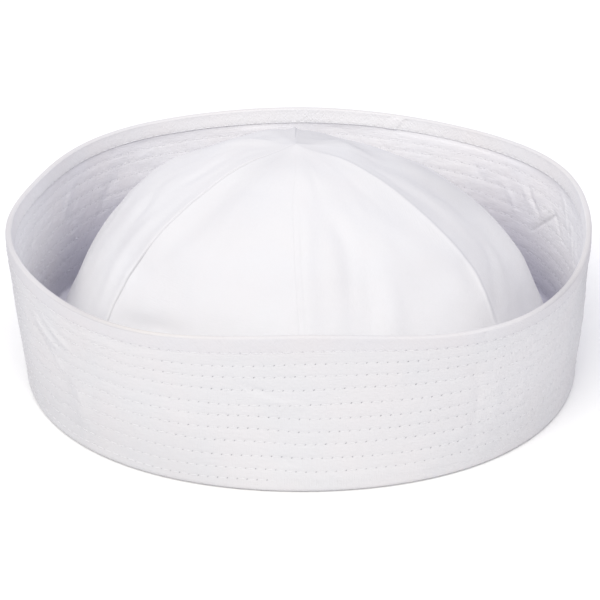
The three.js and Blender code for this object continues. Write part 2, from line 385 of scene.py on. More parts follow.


# The width of a cloth's threads and of a sewing thread's plies. Then each cloth: its colour, its warmer
# patches, that width, and how deep its weave and its fuzz are. All are one white cotton, whose colours differ
# as painted light and shade: lighter inside the cuff and on the tape, darker on the crown and the cuff's
# outside.
THREAD = 0.45
PLY = 0.3
crown_cotton = cotton("crown_cotton", (0.715, 0.712, 0.728), (0.72, 0.712, 0.723), THREAD, 0.05, 0.05)
outer_cotton = cotton(
    "cuff_cotton_outside", (0.664, 0.66, 0.672), (0.678, 0.664, 0.672), THREAD, 0.26, 0.26, least=0.4
)
inner_cotton = cotton("cuff_cotton_inside", (0.852, 0.842, 0.869), (0.862, 0.842, 0.859), THREAD, 0.16, 0.11)
binding_cotton = cotton("binding_cotton", (0.793, 0.784, 0.798), (0.803, 0.782, 0.788), THREAD, 0.2, 0.18)
outer_thread = cotton("thread_cotton_outside", (0.7, 0.698, 0.708), (0.7, 0.696, 0.704), PLY, 0.03, 0.02)
inner_thread = cotton("thread_cotton_inside", (0.8, 0.798, 0.815), (0.8, 0.795, 0.81), PLY, 0.03, 0.02)

# The crown's seams, from the front one towards +X. Allowances are pressed to "side" and raise the cloth by
# "raise", up a "ramp" and over "width". "ridge" and "groove" are the seam's own relief and "line" its shade,
# fainter above the share "faint" of the height. "stray" is how far, in degrees, the sewn line strays from its
# even place at shares of the height.
SEAMS = [
    {"side": 1, "raise": 0.4, "width": 4.5, "ridge": 0.04, "groove": 0.03,
     "line": 0.025, "faint": 0.5, "ramp": 2.6,
     "stray": [(0, 0), (0.59, -0.3), (0.7, -0.9), (0.8, -1.5), (0.92, -2.5), (1, 0)]},
    {"side": -1, "raise": 0.3, "width": 2.0, "ridge": 0.75, "groove": 0.1,
     "line": 0.03, "faint": 0.8, "ramp": 0.35,
     "stray": [(0, -2), (0.44, -2.8), (0.55, -1.9), (0.63, -0.7),
               (0.72, -1.1), (0.8, -1.5), (0.9, -0.2), (1, 0)]},
    {"side": -1, "raise": 0.4, "width": 2.2, "ridge": 0.2, "groove": 0.3,
     "line": 0.12, "faint": 0.8, "ramp": 0.35,
     "stray": [(0, 1), (0.5, -1), (1, 0)]},
    {"side": 1, "raise": 0.7, "width": 1.6, "ridge": 0.5, "groove": 0.05,
     "line": 0.0, "faint": 0.8, "ramp": 0.5,
     "stray": [(0, 0), (0.6, -1), (1, 0)]},
    {"side": 1, "raise": 0.4, "width": 2.2, "ridge": 0.2, "groove": 0.3,
     "line": 0.12, "faint": 0.8, "ramp": 0.35,
     "stray": [(0, -1), (0.5, 1), (1, 0)]},
    {"side": -1, "raise": 0.3, "width": 2.0, "ridge": 0.15, "groove": 0.5,
     "line": 0.42, "faint": 0.68, "ramp": 0.35,
     "stray": [(0, 0.8), (0.48, 0.9), (0.56, 1.6), (0.7, 1.3), (0.81, 1.0), (0.9, 0.5), (1, 0)]},
]

# The crown's soft creases: azimuth in degrees and share of the height along each, its width and its rise.
CROWN_CREASES = [
    ([(-118, 0.73), (-113, 0.71), (-102, 0.676), (-93, 0.624), (-91, 0.55), (-89, 0.43), (-90, 0.3)],
     4.0, 0.4),
    ([(-99, 0.84), (-93, 0.796), (-83, 0.752), (-79, 0.69), (-76, 0.62), (-78, 0.54), (-76, 0.43)],
     4.0, -0.5),
    ([(-92, 0.8), (-83, 0.77), (-78, 0.7)], 2.6, -0.35),
    ([(-170, 0.99), (-120, 0.986), (-115, 0.964), (-115, 0.928), (-113, 0.88), (-118, 0.79)], 3.2, 0.75),
    ([(-155, 0.975), (-140, 0.965), (-132, 0.93), (-130, 0.86)], 4.5, -0.8),
    ([(175, 0.991), (125, 0.988), (106, 0.965), (103, 0.92), (105, 0.86)], 3.2, 0.75),
    ([(165, 0.975), (145, 0.965), (126, 0.945), (122, 0.9), (122, 0.84)], 4.5, -0.8),
    ([(-70, 0.8), (-69, 0.68), (-67, 0.55), (-67, 0.45)], 3.6, 0.6),
    ([(-51, 0.98), (-48, 0.93), (-48, 0.85), (-51, 0.74), (-53, 0.66)], 5.5, -1.1),
    ([(-86, 0.97), (-82, 0.92), (-78, 0.86)], 3.4, -0.5),
    ([(17.5, 0.876), (20, 0.8), (16.5, 0.67), (14, 0.48)], 3.6, -1.3),
    ([(26, 0.8), (22, 0.664), (18.5, 0.48)], 3.8, -1.2),
    ([(31, 0.7), (28, 0.62), (25, 0.46)], 4.0, 0.6),
    ([(6, 0.92), (3.5, 0.79), (3, 0.65), (3, 0.46)], 2.8, 0.6),
    ([(53, 0.98), (47.5, 0.948), (49, 0.864), (51, 0.78)], 4.5, -0.6),
    ([(60, 0.99), (60, 0.94), (60, 0.86), (58, 0.76), (58, 0.64)], 5.0, 1.1),
    ([(114, 0.97), (101, 0.92), (96, 0.84), (91, 0.76), (85, 0.66)], 9.0, -2.0),
    ([(70, 0.96), (72, 0.9), (73, 0.82), (72, 0.74)], 4.0, -0.5),
    ([(77, 0.75), (75.5, 0.684), (75, 0.612), (69, 0.568), (63, 0.5), (60, 0.43)], 2.8, -0.22),
    ([(83, 0.68), (80, 0.61), (75, 0.55), (69, 0.48), (66, 0.42)], 3.0, 0.22),
    ([(102, 0.8), (96, 0.62), (93, 0.42), (92, 0.12)], 12.0, 2.2),
    ([(-108, 0.62), (-102, 0.42), (-98, 0.2)], 9.0, 0.4),
    ([(-58, 0.41), (-49, 0.45), (-41, 0.48), (-30, 0.5)], 4.0, -1.2),
    ([(-36, 0.64), (-14, 0.6)], 8.0, 0.5),
    ([(46, 0.8), (51, 0.66), (54, 0.52), (55, 0.42)], 6.0, 0.7),
    ([(110, 0.9), (104, 0.7), (98, 0.45)], 6.0, 0.8),
    ([(150, 0.9), (146, 0.6), (150, 0.3)], 6.0, -1.0),
    ([(-150, 0.92), (-146, 0.65), (-154, 0.35)], 6.0, -0.9),
    ([(-126, 0.8), (-132, 0.55), (-128, 0.3)], 5.0, 0.8),
    ([(165, 0.5), (178, 0.38), (-168, 0.4)], 5.0, -0.7),
]

# A gore's grid: columns close to each seam, columns between them, and lines from the foot to the tip.
SEAM_STEPS = [0, 0.14, 0.3, 0.48, 0.7, 0.95, 1.25, 1.6, 2.05, 2.6, 3.3, 4.2, 5.4, 7.0, 9.0]
GORE_LINES = 120
MIDDLE_COLUMNS = 50

# The width of a seam's allowance on one side, how high a gore's foot stands, and how far from the seam the
# front seam's second line of stitches lies.
ALLOWANCE = 8.0
FOOT_LIFT = 0.35
FRONT_FELL = 2.05


def seam_azimuth(index, height):
    """Where a seam runs; indexes past the last seam come round again."""
    stray = np.array(SEAMS[index % GORES]["stray"])
    return index * GORE_ANGLE + np.radians(np.interp(height, stray[:, 0], stray[:, 1]))


def seam_relief(away, along, height, seam, index):
    """The relief across one seam: its groove, the raised side over the pressed allowances, small puckers."""
    pressed = away * seam["side"]
    shallow = 1 - 0.6 * smoothstep(height - seam["faint"], -0.05, 0.05)
    plateau = smoothstep(pressed, 0, seam["ramp"]) * fade(pressed, seam["width"] * 0.6, seam["width"] * 2.6)
    ridge = seam["ridge"] * hump(away, 0, 1.3) * mix(0.35, 1, smoothstep(height, 0.35, 0.6))
    groove = -seam["groove"] * hump(away, 0, 0.3) * shallow
    if index == 0:
        groove = groove - 0.05 * hump(pressed, FRONT_FELL, 0.35) * smoothstep(height, 0.2, 0.4)
    pucker = 0.14 * noise(along / 5.5, away / 9 + 30, 200 + index) * np.exp(-np.abs(away) / 5)
    return seam["raise"] * plateau + ridge + groove + pucker


def crown_relief(azimuth, height, base, along):
    """The cloth's relief on the crown: its unevenness, the seams, the creases and the knot at the tip."""
    reach = crown_reach(azimuth, height)
    relief = 0.3 * noise(azimuth / TURN * 20 + 100, along / 26, 11, 20)
    relief = relief + 0.12 * noise(azimuth / TURN * 72, along / 8, 12, 72)
    relief = relief * smoothstep(reach, 4, 30)
    for index, seam in enumerate(SEAMS):
        turn = wrap(azimuth - seam_azimuth(index, height))
        near = fade(np.abs(turn), GORE_ANGLE * 0.15, GORE_ANGLE * 0.5)
        sewn = seam_relief(turn * reach, along, height, seam, index)
        relief = relief + near * sewn * smoothstep(reach, 1, 22)
    for path, width, depth in CROWN_CREASES:
        corners = np.array(path)
        steps = np.linspace(0, len(path) - 1, 4 * len(path))
        turns = np.interp(steps, np.arange(len(path)), np.unwrap(np.radians(corners[:, 0])))
        heights = np.interp(steps, np.arange(len(path)), corners[:, 1])
        relief = relief + crease(base, crown_point(turns, heights), width, depth)
    knot = 0.7 * hump(reach, 0, 4.5)
    return relief * smoothstep(height * CROWN_HEIGHT, 3, 9) + knot


def gore_marks(azimuth, levels, share, to_seam, index):
    """A gore's painted shade at its seams and in its soft hollows, its painted light, and painted blue shade
    at its foot.
    """
    seam, next_seam = SEAMS[index], SEAMS[(index + 1) % GORES]
    line = np.where(share < 0.5, seam["line"], next_seam["line"])
    faint = np.where(share < 0.5, seam["faint"], next_seam["faint"])
    # Painted shade along the seams' sewn lines, fainter higher up.
    shade = line * hump(to_seam, 0, 0.3) * (1 - 0.8 * smoothstep(levels - faint, -0.05, 0.05))
    turned = np.degrees(wrap(azimuth))
    # Painted light on parts of the gore, mostly low down.
    painted_light = 0.45 * hump(turned, -63, 25) + 0.2 * hump(turned, 0, 30) + 0.3 * hump(turned, 44, 17)
    painted_light = painted_light + 0.22 * hump(turned, 90, 15) + 0.3 * hump(turned, 82, 20) * fade(levels, 0.35, 0.55)
    painted_light = painted_light * fade(levels, 0.5, 0.72) + 0.12 * hump(turned, -108, 11) * fade(levels, 0.8, 0.9)
    painted_light = painted_light + 0.1 * hump(turned, -84, 24) * smoothstep(levels, 0.6, 0.74) * fade(levels, 0.93, 0.98)
    # Painted shade (dusk) in soft hollows on the right, behind the tip and beside the side seams.
    dusk = 0.17 * hump(turned, 99, 14) * hump(levels, 0.74, 0.1)
    dusk = dusk + 0.07 * hump(turned, 114, 13) * hump(levels, 0.82, 0.06)
    behind = 0.13 * smoothstep(turned, 98, 112) + 0.08 * smoothstep(-turned, 150, 165)
    dusk = dusk + behind * smoothstep(levels, 0.88, 0.95)
    beside = 0.06 * hump(turned, 57, 10) + 0.04 * hump(turned, -38, 20)
    dusk = dusk + beside * smoothstep(levels, 0.72, 0.86)
    shade = shade + dusk
    # Painted shade along the front seam's second line of stitches.
    if index == 0:
        fell = hump(to_seam, FRONT_FELL, 0.35) * (share < 0.5)
        shade = shade + 0.035 * fell * fade(levels, 0.8, 0.95)
    # Painted blue shade low on the gore, on its left and its right.
    deep = smoothstep(-turned, 72, 90) * (0.34 * fade(levels, 0.12, 0.34) + 0.12 * fade(levels, 0.3, 0.5))
    deep = deep + 0.14 * hump(turned, 82, 20) * fade(levels, 0.35, 0.55)
    bare = 0 * shade
    return {
        "hole_and_shade": np.concatenate([shade, bare], axis=1),
        "painted_light": np.concatenate([painted_light, bare], axis=1),
        "deep": np.concatenate([deep, deep], axis=1),
    }


def make_gore(name, index):
    """One sewn panel, closed: its outer face, its seam allowances and its inner face."""
    width = CROWN_RADIUS * GORE_ANGLE
    edge = np.array(SEAM_STEPS) / width
    middle = np.linspace(edge[-1], 1 - edge[-1], MIDDLE_COLUMNS)[1:-1]
    across = np.concatenate([edge, middle, 1 - edge[::-1]])
    t = np.linspace(0, 1, GORE_LINES)
    height = np.sin(t * math.pi / 2) ** 1.15
    share, levels = np.meshgrid(across, height)
    azimuth = mix(seam_azimuth(index, levels), seam_azimuth(index + 1, levels), share)
    base = crown_point(azimuth, levels)
    steps = np.linalg.norm(np.diff(base[:, len(across) // 2], axis=0), axis=-1)
    along = np.concatenate([[0], np.cumsum(steps)])[:, None] + 0 * azimuth
    normal = crown_normal(azimuth, levels)
    relief = crown_relief(azimuth, levels, base, along)
    outer = base + normal * relief[..., None]
    reach = crown_reach(azimuth, levels)
    after, before = azimuth - seam_azimuth(index, levels), seam_azimuth(index + 1, levels) - azimuth
    to_seam = np.minimum(after, before) * reach
    allowance = 0.55 * fade(to_seam, ALLOWANCE - 0.6, ALLOWANCE + 0.4) * smoothstep(reach, 6, 16)
    rolled = hump(to_seam, 0, 0.5)
    thick = (CLOTH + allowance) * (1 - 0.35 * rolled)
    inner = base + normal * (relief * smoothstep(reach, 2, 8) - thick)[..., None]
    hem = smoothstep(base[..., 2], 0, 0.8)
    for side in (inner, outer):
        side[..., 2] = np.where(levels == 0, FOOT_LIFT, side[..., 2])
    outer = outer - normal * (0.3 * (1 - hem))[..., None]
    grid = np.concatenate([outer, inner[:, ::-1]], axis=1)
    u = (across - 0.5) * width
    u_all = np.concatenate([u, u[::-1]]) * np.ones((GORE_LINES, 1))
    shrink = np.concatenate([reach, reach[:, ::-1]], axis=1) / CROWN_RADIUS
    v_all = np.concatenate([along, along[:, ::-1]], axis=1)
    uv = np.stack([u_all * shrink, v_all], -1)
    uv = np.concatenate([uv, uv[:, :1]], axis=1)
    marks = gore_marks(azimuth, levels, share, to_seam, index)
    piece = grid_mesh(f"{name}_cloth", grid, uv, False, True, caps=True, **marks)
    dress(piece, crown_cotton, "crown_cotton", name)


GORE_SIDES = ["front_right", "side_right", "back_right", "back_left", "side_left", "front_left"]
for number, gore_side in enumerate(GORE_SIDES):
    make_gore(f"crown_gore_{gore_side}", number)

# Cuff: where each row's stitches begin, the row from which the rows step, and the degrees between which the
# lowest row runs hidden under the fold.
ROW_SEED = 5
random_rows = np.random.default_rng(ROW_SEED)
ROW_PHASES = np.cumsum(random_rows.uniform(-0.4, 0.4, len(ROW_HEIGHTS)))
STEPPED_ROW = 5
HIDDEN_STITCHES = (-6, 62)


def row_height(row, azimuth):
    """A row's height round the ring: wavy, lower on the front's left, and stepped near the front's middle."""
    degrees = np.degrees(wrap(azimuth))
    upper = 1.0 if row < STEPPED_ROW else 0.25
    drift = 0.5 * upper * np.tanh(degrees / 12) * hump(degrees, 0, 70)
    step = 0.9 * hump(degrees, -9, 8) / (1 + np.exp((degrees + 1) / 0.9)) if row >= STEPPED_ROW else 0
    wobble = 0.28 * ring_noise(azimuth, 0 * azimuth + 3 * row, 26, 1.0, 40 + row)
    wobble = wobble + 0.1 * ring_noise(azimuth, 0 * azimuth, 9, 1.0, 60 + row)
    return ROW_HEIGHTS[row] + drift + step + wobble * (0.4 if row == 0 else 1)


# The cuff's creases, outside and inside: azimuth in degrees and height along each, its width and its rise.
OUTER_CREASES = [
    ([(-60, 44), (-56, 40), (-51, 35)], 1.2, 0.75),
    ([(-57, 46.5), (-52, 42), (-47.5, 38.5)], 1.1, 0.6),
    ([(-62, 40), (-57, 35), (-54, 31)], 1.2, -0.65),
    ([(-55, 34), (-52, 30), (-50, 27)], 1.4, 0.35),
    ([(-49.5, 27), (-51, 18), (-53.5, 6)], 3.0, -1.1),
    ([(-46, 25), (-47, 9)], 2.6, 0.75),
    ([(-12, 40.5), (-8, 38), (-5, 36), (-1.5, 34.6)], 1.2, -0.45),
    ([(-9, 37), (-4, 34), (0.5, 30.5)], 2.4, 0.5),
    ([(-3, 33), (0, 30.5), (1, 28)], 1.2, -0.3),
    ([(-5, 13.5), (-1.5, 11.2)], 1.5, -0.35),
    ([(34.9, 54), (35.2, 50.8)], 0.7, -0.2),
    ([(28, 44), (33, 39), (36, 33)], 2.6, -0.3),
    ([(33.5, 46), (35, 30), (34.5, 8)], 1.8, -0.3),
    ([(38, 40), (39.5, 26), (38.5, 12)], 2.6, 0.25),
    ([(-28, 30), (-24, 25), (-22, 18)], 3.0, 0.3),
    ([(62, 46), (66, 30), (64, 12)], 3.0, -0.5),
    ([(74, 42), (71, 26), (73, 14)], 3.0, 0.5),
    ([(-78, 44), (-74, 30), (-76, 14)], 3.0, -0.5),
    ([(120, 42), (126, 28), (122, 12)], 2.6, -0.6),
    ([(168, 40), (174, 30), (170, 15)], 2.6, 0.5),
    ([(-150, 44), (-144, 32), (-148, 14)], 2.8, -0.6),
    ([(-118, 36), (-112, 26)], 2.0, 0.6),
]
INNER_CREASES = [
    ([(120.5, 27), (116, 33.5), (111, 40)], 0.6, -0.65),
    ([(122, 29), (117.5, 35.5), (112.5, 41.5)], 1.4, 0.22),
    ([(123, 43), (121.5, 39), (117.5, 34)], 0.8, -0.4),
    ([(125.5, 43), (123.5, 39), (121, 35)], 1.4, 0.2),
    ([(112, 50), (108, 46), (104, 38)], 1.3, 0.3),
    ([(114.8, 42), (110, 37), (106.8, 33)], 1.0, -0.3),
    ([(103, 43), (99, 37), (95.5, 30)], 1.3, 0.35),
    ([(98, 46), (94, 38)], 1.3, -0.3),
    ([(132, 41), (128, 36), (126, 30)], 1.5, 0.3),
    ([(140, 45), (136, 38), (137, 32)], 1.6, -0.25),
    ([(-140, 45), (-134, 36), (-128, 22)], 2.0, -0.25),
    ([(-122, 45), (-116, 32)], 1.8, 0.25),
    ([(-104, 46), (-98, 36), (-96, 22)], 1.8, -0.25),
    ([(-90, 44), (-86, 30)], 1.6, 0.25),
    ([(-64, 40), (-58, 24)], 2.2, 0.5),
    ([(-20, 42), (-14, 30)], 2.2, -0.5),
    ([(30, 44), (36, 28)], 2.2, 0.5),
    ([(70, 44), (64, 28)], 2.2, -0.5),
]


# Inner creases that sink deeper than this also get painted shade. The sewn relief fades in between these
# heights.
# The tape reaches this far below its stitches.
DARK_CREASE = -0.35
FOOT_FADE = (2.0, 5.5)
TAPE_LAP = 0.4


def crease_paths(table, inset):
    """Each crease's path on a face that lies `inset` inside the cuff's outer one, its width and its depth."""
    for corners, width, depth in table:
        corners = np.array(corners, float)
        steps = np.linspace(0, len(corners) - 1, 3 * len(corners))
        azimuth = np.radians(np.interp(steps, np.arange(len(corners)), corners[:, 0]))
        height = np.interp(steps, np.arange(len(corners)), corners[:, 1])
        yield cuff_point(azimuth, cuff_outer(height) - inset, height), width, depth


def quilt(azimuth, height, inner):
    """The sewn relief of a cuff face, out of the cloth: grooves, channels, puckers and creases."""
    near = np.full(azimuth.shape, 1e9)
    for row in range(len(ROW_HEIGHTS)):
        near = np.minimum(near, np.abs(height - row_height(row, azimuth)))
    degrees = np.degrees(wrap(azimuth))
    right = 0 if inner else smoothstep(degrees, 20, 50)
    puff = 0.03 if inner else 0.04 - 0.02 * right
    relief = puff * (1 - 2.4 * hump(near, 0, 0.6))
    free = smoothstep(near, 0.2, 1.6)
    seed = 90 if inner else 80
    slant = azimuth + (height - 25) * (0.012 if inner else 0.006)
    ripple = 0.7 * ring_noise(slant, height, 5.2, 6.5, seed) + ring_noise(slant, height, 2.5, 2.6, seed + 1)
    if inner:
        depth = 0.08 + 0.03 * smoothstep(degrees, 120, 135) - 0.06 * smoothstep(np.abs(degrees), 148, 162)
    else:
        depth = 0.045 + 0.12 * right + 0.045 * smoothstep(-degrees, 20, 50)
    relief = relief + depth * ripple * free
    relief = relief + 0.07 * right * ring_noise(slant, height, 1.7, 1.5, seed + 6) * free
    line = ring_noise(azimuth - (height - 25) * 0.01, height, 9, 11, seed + 4)
    patch = smoothstep(ring_noise(azimuth, height, 30, 22, seed + 5), -0.2, 0.5)
    relief = relief - (0.11 if inner else 0.03) * hump(line, 0, 0.16) * patch
    relief = relief + 0.35 * ring_noise(azimuth, height, 34, 24, seed + 2)
    relief = relief + 0.12 * ring_noise(azimuth, height, 12, 10, seed + 3)
    inset = CUFF_THICKNESS if inner else 0
    base = cuff_point(azimuth, cuff_outer(height) - inset, height)
    for path, width, depth in crease_paths(INNER_CREASES if inner else OUTER_CREASES, inset):
        relief = relief + crease(base, path, width, depth)
    # Just below the tape the cloth lies flat, and behind the tape it sinks.
    edge = row_height(0, azimuth) - TAPE_LAP
    reach = 1.4 if inner else 2.6
    relief = relief * (1 - 0.85 * smoothstep(height, edge - 0.4 - reach, edge - 0.4))
    return relief - 0.4 * smoothstep(height, edge + 0.1, edge + 0.6)


def ply_lines(last_row):
    """Grid lines down a ply from the top row, each as a row and a share of the way to the next row."""
    lines = []
    for row in range(last_row):
        lines += [(row, place) for place in LINE_PLACES]
    return lines + [(last_row, 0.0)]


COLUMNS = STITCHES * len(COLUMN_PLACES)
FIRST_OF_STITCH = np.arange(COLUMNS) % len(COLUMN_PLACES) == 0
IN_STITCHES = (np.arange(STITCHES)[:, None] + COLUMN_PLACES).ravel()


def line_azimuth(row, share):
    after = min(row + 1, len(ROW_HEIGHTS) - 1)
    phase = mix(ROW_PHASES[row], ROW_PHASES[after], share)
    return (IN_STITCHES + phase) * TURN / STITCHES - math.pi


def line_height(row, share, azimuth):
    after = min(row + 1, len(ROW_HEIGHTS) - 1)
    return mix(row_height(row, azimuth), row_height(after, azimuth), share)


def shown_stitch(row, azimuth):
    """False where the lowest row has run under the fold."""
    degrees = np.degrees(wrap(azimuth))
    return (row < len(ROW_HEIGHTS) - 1) | (degrees < HIDDEN_STITCHES[0]) | (degrees > HIDDEN_STITCHES[1])


def deep_shade(azimuth, height):
    """The painted grey-blue shade inside the cuff, deeper towards the crown and reaching higher at the back.
    """
    degrees = np.degrees(wrap(azimuth))
    back = np.where(degrees < 0, smoothstep(-degrees, 100, 122), smoothstep(degrees, 104, 130))
    reach = mix(36, 52, back) - 6 * smoothstep(np.abs(degrees), 126, 144)
    return (0.47 - 0.26 * hump(degrees, -98, 20)) * fade(height, 3, reach)


def hole_depth(azimuth, height, inner):
    """How deep the needle holes are, and how dark their painted shade: fainter inside, and towards the cuff's
    left and right.
    """
    degrees = np.degrees(wrap(azimuth))
    side = 1 if inner else 1 - 0.7 * smoothstep(-degrees, 14, 42) - 0.4 * smoothstep(degrees, 30, 55)
    return side * (0.5 if inner else 0.95) * (0.75 + 0.4 * ring_noise(azimuth, height, 4, 3, 70 + inner))


def ply_tail(inner):
    """Radius and height of a ply's sections past its lowest line: its fold, then up inside the wall."""
    if inner:
        beside = CROWN_RADIUS * crown_profile(FOLD_HEIGHT / CROWN_HEIGHT) + FIT_GAP
        face = cuff_outer(6.2) - CUFF_THICKNESS
        fold = [
            (face, 6.5), (face - 0.5, 5.9), (face - 1.4, 5.45),
            (beside + 0.6, 5.2), (beside + 0.1, 4.95), (beside + 0.1, 4.6),
        ]
    else:
        fold = [
            (cuff_outer(2.0), 2.0), (cuff_outer(1.4), 1.4), (FOLD_RADIUS - 0.12, 0.8),
            (FOLD_RADIUS - 0.5, 0.3), (FOLD_RADIUS - 1.3, 0.0), (FOLD_INNER + 1.0, 0.0),
            (FOLD_INNER + 0.3, 0.3), (FOLD_INNER + 0.05, 1.0), (FOLD_INNER - 0.9, FOLD_HEIGHT),
        ]
    middle = CUFF_THICKNESS / 2 + (0.02 if inner else -0.02)
    back_low = 4.6 if inner else FOLD_HEIGHT
    return fold + [(cuff_outer(level) - middle, level) for level in (back_low + 0.02, 20.0, 38.0, 52.3)]


def ply_marks(azimuth, height, hole_and_shade, inner):
    """A ply's painted marks: painted shade in holes and elsewhere, painted blue shade inside, coarser sides,
    painted light.
    """
    side = np.degrees(wrap(azimuth))
    turned = np.abs(side)
    coarse = (smoothstep(side, 25, 55) + 0.5 * smoothstep(-side, 28, 50)) * fade(turned, 110, 130)
    if inner:
        base = cuff_point(azimuth, cuff_outer(height) - CUFF_THICKNESS, height)
        # Painted shade in the deeper inner creases and just below the tape's lower edge.
        for path, width, depth in crease_paths(INNER_CREASES, CUFF_THICKNESS):
            if depth < DARK_CREASE:
                hole_and_shade = hole_and_shade + crease(base, path, width * 0.8, -0.3 * depth) * (turned < 130)
        hole_and_shade = hole_and_shade + 0.12 * hump(height, row_height(0, azimuth) - 0.75, 0.4) * (height > 45)
        # Painted light higher up the inside, at its sides and back.
        painted_light = 0.95 * hump(side, -92, 17) + 0.75 * hump(side, 98, 16) + 0.25 * smoothstep(turned, 132, 150)
        painted_light = painted_light * smoothstep(height, 22, 42)
    else:
        # Painted light outside on the right, low down; painted shade low at the front, most on its left, and
        # near the sides.
        painted_light = 0.13 * hump(side, 48, 13) * smoothstep(height, 5, 30)
        foot = fade(height, 5, 32) * (0.085 * smoothstep(-side, 4, 26) + 0.04 * smoothstep(side, 12, 50))
        edge = (0.02 + 0.21 * height / CUFF_HEIGHT) * smoothstep(turned, 62, 75) * fade(turned, 78, 108)
        hole_and_shade = np.maximum(hole_and_shade, foot + edge)
    # Painted blue shade inside the cuff.
    deep = deep_shade(azimuth, height) if inner else 0 * height
    return {"hole_and_shade": hole_and_shade, "deep": deep, "coarse": coarse, "painted_light": painted_light}


def make_ply(name, inner):
    """One cloth layer of the cuff, closed. Its grid follows the rows, so each needle hole is a grid point."""
    last = len(ROW_HEIGHTS) - (2 if inner else 1)
    azimuths, heights, holes = [], [], []
    top = line_azimuth(0, 0)
    for lift in (0.9, 0.45):
        azimuths.append(top)
        heights.append(row_height(0, top) + lift)
        holes.append(np.zeros(COLUMNS))
    for row, share in ply_lines(last):
        azimuth = line_azimuth(row, share)
        height = line_height(row, share, azimuth)
        pierced = FIRST_OF_STITCH & (share == 0) & shown_stitch(row, azimuth)
        azimuths.append(azimuth)
        heights.append(height)
        # A needle hole's depth sinks the cloth and also sets its painted shade.
        holes.append(np.where(pierced, hole_depth(azimuth, height, inner), 0.0))
    for drop in (0.5, 1.0):
        azimuths.append(azimuths[-1])
        heights.append(row_height(last, azimuths[-1]) - drop)
        holes.append(np.zeros(COLUMNS))
    azimuth, height, hole_and_shade = np.array(azimuths), np.array(heights), np.array(holes)
    relief = quilt(azimuth, height, inner) * smoothstep(height, *FOOT_FADE) - 0.25 * hole_and_shade
    side = -1 if inner else 1
    radius = cuff_outer(height) - (CUFF_THICKNESS if inner else 0) + side * relief
    tail = ply_tail(inner)
    tail_radius = np.array([[r] for r, _ in tail]) * np.ones((1, COLUMNS))
    tail_height = np.array([[h] for _, h in tail]) * np.ones((1, COLUMNS))
    tail_height[-1] = height[0]
    azimuth = np.concatenate([azimuth, np.tile(line_azimuth(last, 0), (len(tail), 1))])
    radius = np.concatenate([radius, tail_radius])
    height = np.concatenate([height, tail_height])
    hole_and_shade = np.concatenate([hole_and_shade, np.zeros(tail_radius.shape)])
    points = cuff_point(azimuth, radius, height)
    u = np.concatenate([azimuth, azimuth[:, :1] + TURN], axis=1) * RIM_RADIUS
    v = np.concatenate([height, height[:, :1]], axis=1)
    uv = np.stack([u, v], -1)
    uv = np.concatenate([uv, uv[:1]])
    return grid_mesh(name, points, uv, True, True, **ply_marks(azimuth, height, hole_and_shade, inner))


def face_radius(azimuth, height, inner):
    """The radius of the cuff's outer or inner cloth."""
    relief = quilt(azimuth, height, inner) * smoothstep(height, *FOOT_FADE)
    return cuff_outer(height) + (-CUFF_THICKNESS - relief if inner else relief)


# Thread: each stitch is a short round strand that dives into the cloth at both of its holes. Its rings lie at
# shares of the stitch, so far out of the cloth, and are so thick.
STRAND = [
    (0.12, -0.2, 0.08), (0.27, -0.05, 0.13), (0.5, -0.02, 0.15), (0.73, -0.05, 0.13), (0.88, -0.2, 0.08),
]
STRAND_SIDES = 6
STRAND_POINTS = len(STRAND) * STRAND_SIDES


def strand_faces():
    """One strand's faces: quads between its rings, and its two ends."""
    k, s = np.meshgrid(np.arange(len(STRAND) - 1), np.arange(STRAND_SIDES), indexing="ij")
    here, there = k * STRAND_SIDES, (k + 1) * STRAND_SIDES
    beside = (s + 1) % STRAND_SIDES
    quads = np.stack([here + s, here + beside, there + beside, there + s], -1).reshape(-1, 4)
    first = list(range(STRAND_SIDES))[::-1]
    last = list(range(STRAND_POINTS - STRAND_SIDES, STRAND_POINTS))
    return quads, np.array([first, last])


def make_threads(name, rows, surface, inner, seed, slot):
    """All the stitches of some rows as one mesh, on the cloth whose radius `surface` gives."""
    chance = np.random.default_rng(seed)
    vertices, faces, shades, start = [], [], [], 0
    around = np.arange(STRAND_SIDES) / STRAND_SIDES * TURN
    quads, ends = strand_faces()
    side = -1 if inner else 1
    for row in rows:
        begin = (np.arange(STITCHES) + ROW_PHASES[row]) * TURN / STITCHES - math.pi
        begin = begin[shown_stitch(row, begin)]
        tilt = chance.uniform(-0.08, 0.08, len(begin)) + 0.03
        full = chance.uniform(0.85, 1.1, len(begin))
        rings = []
        for share, lift, thick in STRAND:
            azimuth = begin + share * TURN / STITCHES
            height = row_height(row, azimuth) + tilt * (share - 0.5) * 2
            radius = surface(azimuth, height, inner)
            lift = lift + 0.09 * (not inner) * smoothstep(-np.degrees(wrap(azimuth)), 15, 45)[:, None]
            ring_radius = radius[:, None] + side * (lift + thick * full[:, None] * np.cos(around))
            ring_height = height[:, None] + thick * full[:, None] * np.sin(around)
            rings.append(cuff_point(azimuth[:, None] + 0 * around, ring_radius, ring_height))
        count = len(begin)
        vertices.append(np.stack(rings, 1).reshape(-1, 3))
        # The inside's stitches get the same painted blue shade as its cloth.
        shades.append(np.repeat(deep_shade(begin, ROW_HEIGHTS[row]) * inner, STRAND_POINTS))
        offsets = start + np.arange(count)[:, None, None] * STRAND_POINTS
        faces += (offsets + quads).reshape(-1, 4).tolist()
        faces += (offsets + ends).reshape(-1, STRAND_SIDES).tolist()
        start += count * STRAND_POINTS
    mesh = bpy.data.meshes.new(name)
    mesh.from_pydata((np.concatenate(vertices) * MM).tolist(), [], [f[::-1] if inner else f for f in faces])
    mesh.polygons.foreach_set("use_smooth", np.ones(len(mesh.polygons), bool))
    paint(mesh, "deep", np.concatenate(shades))
    dress(show(name, mesh), inner_thread if inner else outer_thread, slot)


